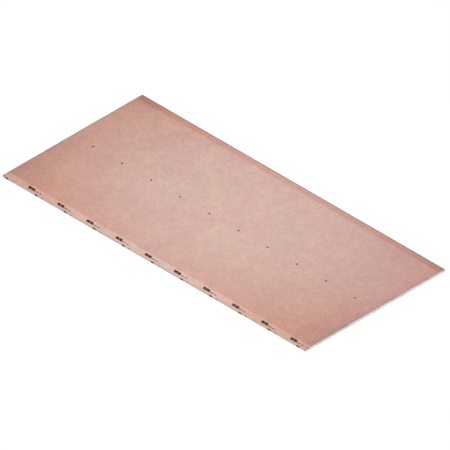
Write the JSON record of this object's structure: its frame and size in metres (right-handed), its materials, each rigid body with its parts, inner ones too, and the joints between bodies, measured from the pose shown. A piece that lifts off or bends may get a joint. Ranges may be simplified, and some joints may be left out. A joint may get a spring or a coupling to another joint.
{
  "type": "drywall sheet",
  "caption": "Full-size rectangular drywall sheet: a gypsum core between paper liners, with tapered, paper-wrapped long edges and square-cut ends.",
  "frame": {"origin": "middle of the back, on the surface that the sheet lies on", "axes": "+X along the length, +Y across the width, +Z out of the face"},
  "size_m": [2.6, 1.2, 0.015],
  "materials": {
    "gypsum": "matte",
    "face_liner": "matte",
    "back_liner": "matte"
  },
  "bodies": {
    "root": {"gypsum_core": "gypsum", "face_paper": "face_liner", "back_paper": "back_liner"}
  },
  "joints": []
}
